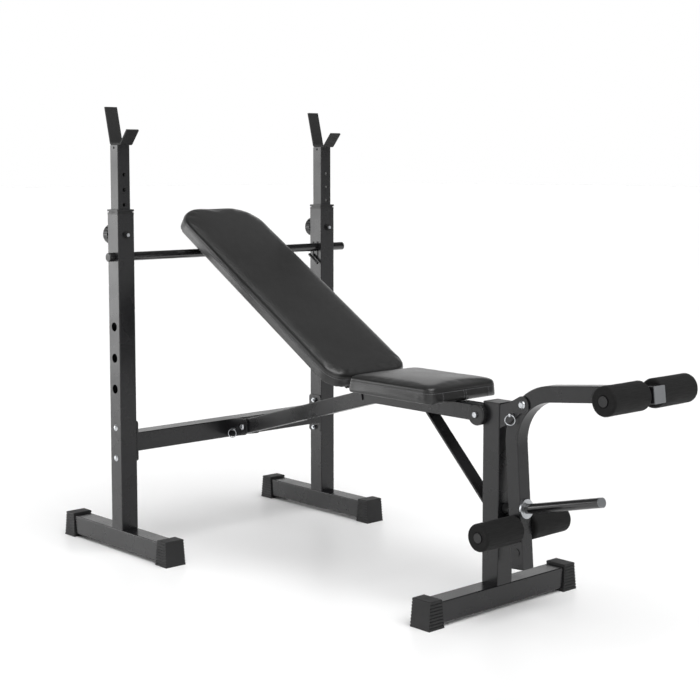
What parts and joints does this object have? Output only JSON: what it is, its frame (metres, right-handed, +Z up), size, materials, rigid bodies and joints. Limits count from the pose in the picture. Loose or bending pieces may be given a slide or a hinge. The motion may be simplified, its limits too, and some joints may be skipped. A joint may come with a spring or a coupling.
{
  "type": "adjustable weight bench",
  "caption": "Black steel weight bench with a barbell rack on telescoping posts, a padded seat, a hinged inclined backrest and a leg developer with foam rollers and a weight post.",
  "frame": {"origin": "centre of the bounding box in plan, at the floor", "axes": "+Z up, +X from the barbell rack towards the leg developer, +Y to the left of a person who sits on the seat facing the leg developer"},
  "size_m": [1.862, 0.89, 1.2746],
  "materials": {
    "frame_paint": "semi-gloss black powder coat",
    "hook_paint": "matt black powder coat",
    "black_tube": "gloss black enamel",
    "zinc": "bright zinc plated steel",
    "rubber": "moulded black rubber",
    "black_plastic": "textured black plastic",
    "grey_plastic": "satin grey plastic",
    "pad_cover": "black grained synthetic leather",
    "plywood": "raw plywood",
    "foam": "dense black foam"
  },
  "bodies": {
    "rack": {"rack_base_right": "frame_paint", "rack_base_left": "frame_paint", "rack_feet": "rubber", "upright_right": "frame_paint", "upright_left": "frame_paint", "upright_collars": "black_plastic", "saddle_plates": "frame_paint", "rack_bolts": "zinc", "crossbar": "frame_paint", "fold_bracket": "frame_paint", "clamp_nuts": "hook_paint"},
    "post_right": {"post_right": "frame_paint", "bar_hook_right": "hook_paint", "hook_screw_right": "hook_paint"},
    "post_left": {"post_left": "frame_paint", "bar_hook_left": "hook_paint", "hook_screw_left": "hook_paint"},
    "knob_right": {"height_knob_right": "black_plastic"},
    "knob_left": {"height_knob_left": "black_plastic"},
    "cross_tube": {"cross_tube": "black_tube", "cross_tube_caps": "black_plastic", "cross_tube_pin": "frame_paint"},
    "fold_pin": {"fold_pin": "zinc"},
    "bench": {"main_beam": "frame_paint", "frame_plugs": "black_plastic", "front_post": "frame_paint", "front_base": "frame_paint", "front_feet": "rubber", "brace": "frame_paint", "beam_plates": "frame_paint", "front_bolt": "zinc", "seat_pad": "pad_cover", "seat_board": "plywood", "seat_bracket": "frame_paint", "seat_bolts": "zinc", "hinge_bracket": "frame_paint", "lever_plates": "frame_paint", "lever_bolt": "zinc", "stop_bumper": "rubber"},
    "front_knob": {"front_knob": "black_plastic"},
    "hinge_bolt": {"hinge_bolt": "zinc"},
    "backrest": {"back_pad": "pad_cover", "back_board": "plywood", "back_rails": "frame_paint", "back_ears": "frame_paint", "back_screws": "zinc"},
    "lever_pin": {"lever_pin": "zinc"},
    "lever": {"lever_tube": "frame_paint", "arm_plug": "grey_plastic", "lever_end_plugs": "black_plastic", "upper_roller_bar": "black_tube", "lower_roller_bar": "black_tube", "roller_bar_plugs": "black_plastic", "weight_post": "black_tube", "weight_post_flange": "zinc", "weight_post_cap": "grey_plastic"},
    "roller_ur": {"upper_roller_right": "foam"},
    "roller_ul": {"upper_roller_left": "foam"},
    "roller_lr": {"lower_roller_right": "foam"},
    "roller_ll": {"lower_roller_left": "foam"}
  },
  "joints": [
    {"name": "post_right_height", "type": "slide", "parent": "rack", "child": "post_right", "axis": [0, 0, 1], "range_m": [0, 0.0425]},
    {"name": "post_left_height", "type": "slide", "parent": "rack", "child": "post_left", "axis": [0, 0, 1], "range_m": [0, 0.0425]},
    {"name": "knob_right_turn", "type": "hinge", "parent": "rack", "child": "knob_right", "pos_m": [-0.69202, -0.4, 0.913], "axis": [1, 0, 0], "continuous": true},
    {"name": "knob_left_turn", "type": "hinge", "parent": "rack", "child": "knob_left", "pos_m": [-0.69202, 0.36, 0.913], "axis": [1, 0, 0], "continuous": true},
    {"name": "cross_tube_pull", "type": "slide", "parent": "rack", "child": "cross_tube", "axis": [0, -1, 0], "range_m": [0, 0.045]},
    {"name": "fold_pin_pull", "type": "slide", "parent": "rack", "child": "fold_pin", "axis": [0, -1, 0], "range_m": [0, 0.012]},
    {"name": "bench_fold", "type": "hinge", "parent": "rack", "child": "bench", "pos_m": [-0.55902, -0.02, 0.3293], "axis": [0, -1, 0], "range_deg": [0, 35]},
    {"name": "backrest_follow", "type": "hinge", "parent": "bench", "child": "hinge_bolt", "pos_m": [-0.04502, -0.02, 0.504], "axis": [0, 1, 0], "range_deg": [0, 18]},
    {"name": "backrest_lift", "type": "hinge", "parent": "hinge_bolt", "child": "backrest", "pos_m": [-0.04502, -0.02, 0.504], "axis": [0, 1, 0], "range_deg": [0, 22]},
    {"name": "front_knob_turn", "type": "hinge", "parent": "bench", "child": "front_knob", "pos_m": [0.40498, -0.055, 0.49], "axis": [0, 1, 0], "continuous": true},
    {"name": "leg_lever", "type": "hinge", "parent": "bench", "child": "lever", "pos_m": [0.54098, -0.02, 0.529], "axis": [0, -1, 0], "range_deg": [0, 90]},
    {"name": "lever_pin_pull", "type": "slide", "parent": "bench", "child": "lever_pin", "axis": [0, -1, 0], "range_m": [0, 0.012]},
    {"name": "roller_ur_spin", "type": "hinge", "parent": "lever", "child": "roller_ur", "pos_m": [0.88998, -0.109, 0.5927], "axis": [0, 1, 0], "continuous": true},
    {"name": "roller_ul_spin", "type": "hinge", "parent": "lever", "child": "roller_ul", "pos_m": [0.88998, 0.069, 0.5927], "axis": [0, 1, 0], "continuous": true},
    {"name": "roller_lr_spin", "type": "hinge", "parent": "lever", "child": "roller_lr", "pos_m": [0.51998, -0.109, 0.217], "axis": [0, 1, 0], "continuous": true},
    {"name": "roller_ll_spin", "type": "hinge", "parent": "lever", "child": "roller_ll", "pos_m": [0.51998, 0.069, 0.217], "axis": [0, 1, 0], "continuous": true}
  ],
  "couplings": [
    {"joint": "backrest_follow", "follows": "bench_fold", "ratio": 0.51}
  ]
}
